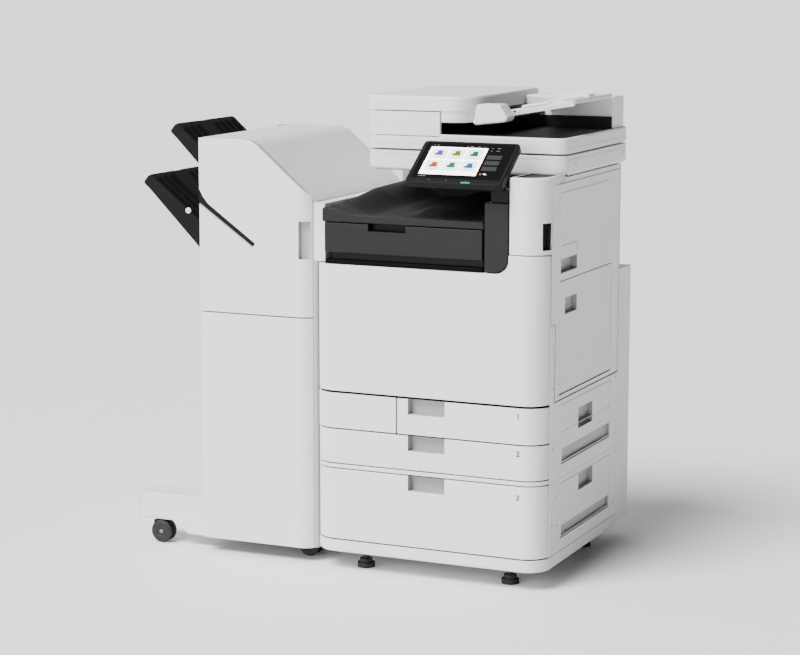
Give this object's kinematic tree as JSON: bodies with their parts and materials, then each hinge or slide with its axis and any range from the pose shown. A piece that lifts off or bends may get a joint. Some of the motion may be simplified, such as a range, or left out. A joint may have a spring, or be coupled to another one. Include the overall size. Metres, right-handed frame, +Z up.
{
  "type": "office photocopier",
  "caption": "Floor-standing office photocopier with paper cassettes, tilting control panel, document feeder and an attached finisher with two stacking trays.",
  "frame": {"origin": "centre of the bounding box on the floor", "axes": "+X to the right seen from the front, +Y to the back, +Z up"},
  "size_m": [1.1634, 0.685, 1.1991],
  "materials": {
    "main_frame": "satin",
    "base_cover": "fine grain",
    "front_strips": "fine grain",
    "left_cover": "fine grain",
    "right_side_covers": "fine grain",
    "rear_covers": "fine grain",
    "upper_front_cover": "fine grain",
    "pillar_cover": "fine grain",
    "cassette_rails": "satin",
    "delivery_tray": "fine grain",
    "scanner_housing": "fine grain",
    "platen_glass": "polished",
    "carriage_rods": "satin",
    "feeder_hinges": "satin",
    "panel_bracket": "fine grain",
    "transfer_belt": "fine grain",
    "drive_unit": "satin",
    "levelling_feet": "matte",
    "finisher_frame": "satin",
    "finisher_panels": "fine grain",
    "finisher_lower_cover": "fine grain",
    "finisher_hood": "fine grain",
    "front_door": "fine grain",
    "cassette_1_front": "fine grain",
    "cassette_1_tray": "satin",
    "cassette_2_front": "fine grain",
    "cassette_2_tray": "satin",
    "cassette_3_front": "fine grain",
    "cassette_3_tray": "satin",
    "pass_unit": "fine grain",
    "scan_carriage": "fine grain",
    "feeder_base": "fine grain",
    "control_panel": "fine grain",
    "panel_glass": "gloss",
    "feeder_cover": "fine grain",
    "input_tray": "fine grain",
    "document_guide_front": "fine grain",
    "document_guide_rear": "fine grain",
    "feeder_roller": "matte",
    "power_key": "satin",
    "right_door": "fine grain",
    "multipurpose_tray": "fine grain",
    "lower_right_cover": "fine grain",
    "pedestal_right_cover": "fine grain",
    "drum_1": "gloss",
    "drum_2": "gloss",
    "drum_3": "gloss",
    "drum_4": "gloss",
    "belt_roller_right": "satin",
    "belt_roller_left": "satin",
    "fuser_roller": "matte",
    "pressure_roller": "matte",
    "cooling_fan": "fine grain",
    "finisher_front_door": "fine grain",
    "upper_tray": "fine grain",
    "lower_tray": "fine grain",
    "caster_fork_left": "fine grain",
    "caster_wheels_left": "matte",
    "caster_fork_right": "fine grain",
    "caster_wheels_right": "matte"
  },
  "bodies": {
    "main_unit": {"main_frame": "main_frame", "base_cover": "base_cover", "front_strips": "front_strips", "left_cover": "left_cover", "right_side_covers": "right_side_covers", "rear_covers": "rear_covers", "upper_front_cover": "upper_front_cover", "pillar_cover": "pillar_cover", "cassette_rails": "cassette_rails", "delivery_tray": "delivery_tray", "scanner_housing": "scanner_housing", "platen_glass": "platen_glass", "carriage_rods": "carriage_rods", "feeder_hinges": "feeder_hinges", "panel_bracket": "panel_bracket", "transfer_belt": "transfer_belt", "drive_unit": "drive_unit", "levelling_feet": "levelling_feet", "finisher_frame": "finisher_frame", "finisher_panels": "finisher_panels", "finisher_lower_cover": "finisher_lower_cover", "finisher_hood": "finisher_hood"},
    "front_door": {"front_door": "front_door"},
    "cassette_1": {"cassette_1_front": "cassette_1_front", "cassette_1_tray": "cassette_1_tray"},
    "cassette_2": {"cassette_2_front": "cassette_2_front", "cassette_2_tray": "cassette_2_tray"},
    "cassette_3": {"cassette_3_front": "cassette_3_front", "cassette_3_tray": "cassette_3_tray"},
    "pass_unit": {"pass_unit": "pass_unit"},
    "scan_carriage": {"scan_carriage": "scan_carriage"},
    "feeder": {"feeder_base": "feeder_base"},
    "control_panel": {"control_panel": "control_panel", "panel_glass": "panel_glass"},
    "feeder_cover": {"feeder_cover": "feeder_cover"},
    "input_tray": {"input_tray": "input_tray"},
    "document_guide_front": {"document_guide_front": "document_guide_front"},
    "document_guide_rear": {"document_guide_rear": "document_guide_rear"},
    "feeder_roller": {"feeder_roller": "feeder_roller"},
    "power_key": {"power_key": "power_key"},
    "right_door": {"right_door": "right_door"},
    "multipurpose_tray": {"multipurpose_tray": "multipurpose_tray"},
    "lower_right_cover": {"lower_right_cover": "lower_right_cover"},
    "pedestal_right_cover": {"pedestal_right_cover": "pedestal_right_cover"},
    "drum_1": {"drum_1": "drum_1"},
    "drum_2": {"drum_2": "drum_2"},
    "drum_3": {"drum_3": "drum_3"},
    "drum_4": {"drum_4": "drum_4"},
    "belt_roller_right": {"belt_roller_right": "belt_roller_right"},
    "belt_roller_left": {"belt_roller_left": "belt_roller_left"},
    "fuser_roller": {"fuser_roller": "fuser_roller"},
    "pressure_roller": {"pressure_roller": "pressure_roller"},
    "cooling_fan": {"cooling_fan": "cooling_fan"},
    "finisher_front_door": {"finisher_front_door": "finisher_front_door"},
    "upper_tray": {"upper_tray": "upper_tray"},
    "lower_tray": {"lower_tray": "lower_tray"},
    "caster_fork_left": {"caster_fork_left": "caster_fork_left"},
    "caster_wheels_left": {"caster_wheels_left": "caster_wheels_left"},
    "caster_fork_right": {"caster_fork_right": "caster_fork_right"},
    "caster_wheels_right": {"caster_wheels_right": "caster_wheels_right"}
  },
  "joints": [
    {"name": "front_door_hinge", "type": "hinge", "parent": "main_unit", "child": "front_door", "pos_m": [0.27025, -0.2915, 0.464], "axis": [1, 0, 0], "range_deg": [0, 90]},
    {"name": "cassette_1_slide", "type": "slide", "parent": "main_unit", "child": "cassette_1", "axis": [0, -1, 0], "range_m": [0, 0.4]},
    {"name": "cassette_2_slide", "type": "slide", "parent": "main_unit", "child": "cassette_2", "axis": [0, -1, 0], "range_m": [0, 0.4]},
    {"name": "cassette_3_slide", "type": "slide", "parent": "main_unit", "child": "cassette_3", "axis": [0, -1, 0], "range_m": [0, 0.4]},
    {"name": "pass_unit_slide", "type": "slide", "parent": "main_unit", "child": "pass_unit", "axis": [0, -1, 0], "range_m": [0, 0.3]},
    {"name": "scan_carriage_slide", "type": "slide", "parent": "main_unit", "child": "scan_carriage", "axis": [1, 0, 0], "range_m": [0, 0.4]},
    {"name": "feeder_lift", "type": "hinge", "parent": "main_unit", "child": "feeder", "pos_m": [0.31025, 0.3015, 1.063], "axis": [-1, 0, 0], "range_deg": [0, 65]},
    {"name": "feeder_cover_hinge", "type": "hinge", "parent": "feeder", "child": "feeder_cover", "pos_m": [0.05525, 0.0725, 1.156], "axis": [0, -1, 0], "range_deg": [0, 80]},
    {"name": "input_tray_hinge", "type": "hinge", "parent": "feeder", "child": "input_tray", "pos_m": [0.40625, 0.0605, 1.147], "axis": [0, -1, 0], "range_deg": [0, 55]},
    {"name": "front_guide_slide", "type": "slide", "parent": "input_tray", "child": "document_guide_front", "axis": [0, 1, 0], "range_m": [0, 0.09]},
    {"name": "rear_guide_slide", "type": "slide", "parent": "input_tray", "child": "document_guide_rear", "axis": [0, -1, 0], "range_m": [0, 0.09]},
    {"name": "feeder_roller_spin", "type": "hinge", "parent": "feeder", "child": "feeder_roller", "pos_m": [0.15025, 0.0725, 1.122], "axis": [0, 1, 0], "continuous": true},
    {"name": "panel_tilt", "type": "hinge", "parent": "main_unit", "child": "control_panel", "pos_m": [0.36025, -0.27614, 1.00584], "axis": [1, 0, 0], "range_deg": [-15, 30]},
    {"name": "power_key_press", "type": "slide", "parent": "control_panel", "child": "power_key", "axis": [0, 0.8192, 0.5736], "range_m": [0, 0.001], "stiffness_N_per_m": 1200},
    {"name": "right_door_hinge", "type": "hinge", "parent": "main_unit", "child": "right_door", "pos_m": [0.57475, 0.2405, 0.7], "axis": [0, 0, 1], "range_deg": [0, 80]},
    {"name": "multipurpose_tray_hinge", "type": "hinge", "parent": "right_door", "child": "multipurpose_tray", "pos_m": [0.57425, -0.0025, 0.48], "axis": [0, 1, 0], "range_deg": [0, 70]},
    {"name": "lower_right_cover_hinge", "type": "hinge", "parent": "main_unit", "child": "lower_right_cover", "pos_m": [0.57425, 0.0025, 0.305], "axis": [0, 1, 0], "range_deg": [0, 60]},
    {"name": "pedestal_right_cover_hinge", "type": "hinge", "parent": "main_unit", "child": "pedestal_right_cover", "pos_m": [0.57425, 0.0025, 0.118], "axis": [0, 1, 0], "range_deg": [0, 60]},
    {"name": "drum_1_spin", "type": "hinge", "parent": "main_unit", "child": "drum_1", "pos_m": [0.08025, 0.0025, 0.576], "axis": [0, 1, 0], "continuous": true},
    {"name": "drum_2_spin", "type": "hinge", "parent": "main_unit", "child": "drum_2", "pos_m": [0.16425, 0.0025, 0.576], "axis": [0, 1, 0], "continuous": true},
    {"name": "drum_3_spin", "type": "hinge", "parent": "main_unit", "child": "drum_3", "pos_m": [0.24825, 0.0025, 0.576], "axis": [0, 1, 0], "continuous": true},
    {"name": "drum_4_spin", "type": "hinge", "parent": "main_unit", "child": "drum_4", "pos_m": [0.33225, 0.0025, 0.576], "axis": [0, 1, 0], "continuous": true},
    {"name": "belt_roller_right_spin", "type": "hinge", "parent": "main_unit", "child": "belt_roller_right", "pos_m": [0.38225, 0.0025, 0.613], "axis": [0, 1, 0], "continuous": true},
    {"name": "belt_roller_left_spin", "type": "hinge", "parent": "main_unit", "child": "belt_roller_left", "pos_m": [0.04025, 0.0025, 0.613], "axis": [0, 1, 0], "continuous": true},
    {"name": "fuser_roller_spin", "type": "hinge", "parent": "main_unit", "child": "fuser_roller", "pos_m": [0.53025, 0.0025, 0.666], "axis": [0, 1, 0], "continuous": true},
    {"name": "pressure_roller_spin", "type": "hinge", "parent": "main_unit", "child": "pressure_roller", "pos_m": [0.53025, 0.0025, 0.7024], "axis": [0, 1, 0], "continuous": true},
    {"name": "cooling_fan_spin", "type": "hinge", "parent": "main_unit", "child": "cooling_fan", "pos_m": [0.43775, 0.2625, 0.56], "axis": [0, 1, 0], "continuous": true},
    {"name": "finisher_door_hinge", "type": "hinge", "parent": "main_unit", "child": "finisher_front_door", "pos_m": [-0.36275, -0.2595, 0.85], "axis": [0, 0, -1], "range_deg": [0, 95]},
    {"name": "upper_tray_lift", "type": "slide", "parent": "main_unit", "child": "upper_tray", "axis": [0, 0, -1], "range_m": [0, 0.05]},
    {"name": "lower_tray_lift", "type": "slide", "parent": "main_unit", "child": "lower_tray", "axis": [0, 0, -1], "range_m": [0, 0.2]},
    {"name": "caster_left_swivel", "type": "hinge", "parent": "main_unit", "child": "caster_fork_left", "pos_m": [-0.52675, -0.2255, 0.05], "axis": [0, 0, 1], "continuous": true},
    {"name": "caster_left_roll", "type": "hinge", "parent": "caster_fork_left", "child": "caster_wheels_left", "pos_m": [-0.51275, -0.2255, 0.03], "axis": [0, 1, 0], "continuous": true},
    {"name": "caster_right_swivel", "type": "hinge", "parent": "main_unit", "child": "caster_fork_right", "pos_m": [-0.10975, -0.1895, 0.05], "axis": [0, 0, 1], "continuous": true},
    {"name": "caster_right_roll", "type": "hinge", "parent": "caster_fork_right", "child": "caster_wheels_right", "pos_m": [-0.09575, -0.1895, 0.03], "axis": [0, 1, 0], "continuous": true}
  ],
  "couplings": [
    {"joint": "rear_guide_slide", "follows": "front_guide_slide", "ratio": 1},
    {"joint": "drum_2_spin", "follows": "drum_1_spin", "ratio": 1},
    {"joint": "drum_3_spin", "follows": "drum_1_spin", "ratio": 1},
    {"joint": "drum_4_spin", "follows": "drum_1_spin", "ratio": 1},
    {"joint": "belt_roller_right_spin", "follows": "drum_1_spin", "ratio": -0.92025},
    {"joint": "belt_roller_left_spin", "follows": "drum_1_spin", "ratio": -0.92025},
    {"joint": "pressure_roller_spin", "follows": "fuser_roller_spin", "ratio": -1}
  ]
}
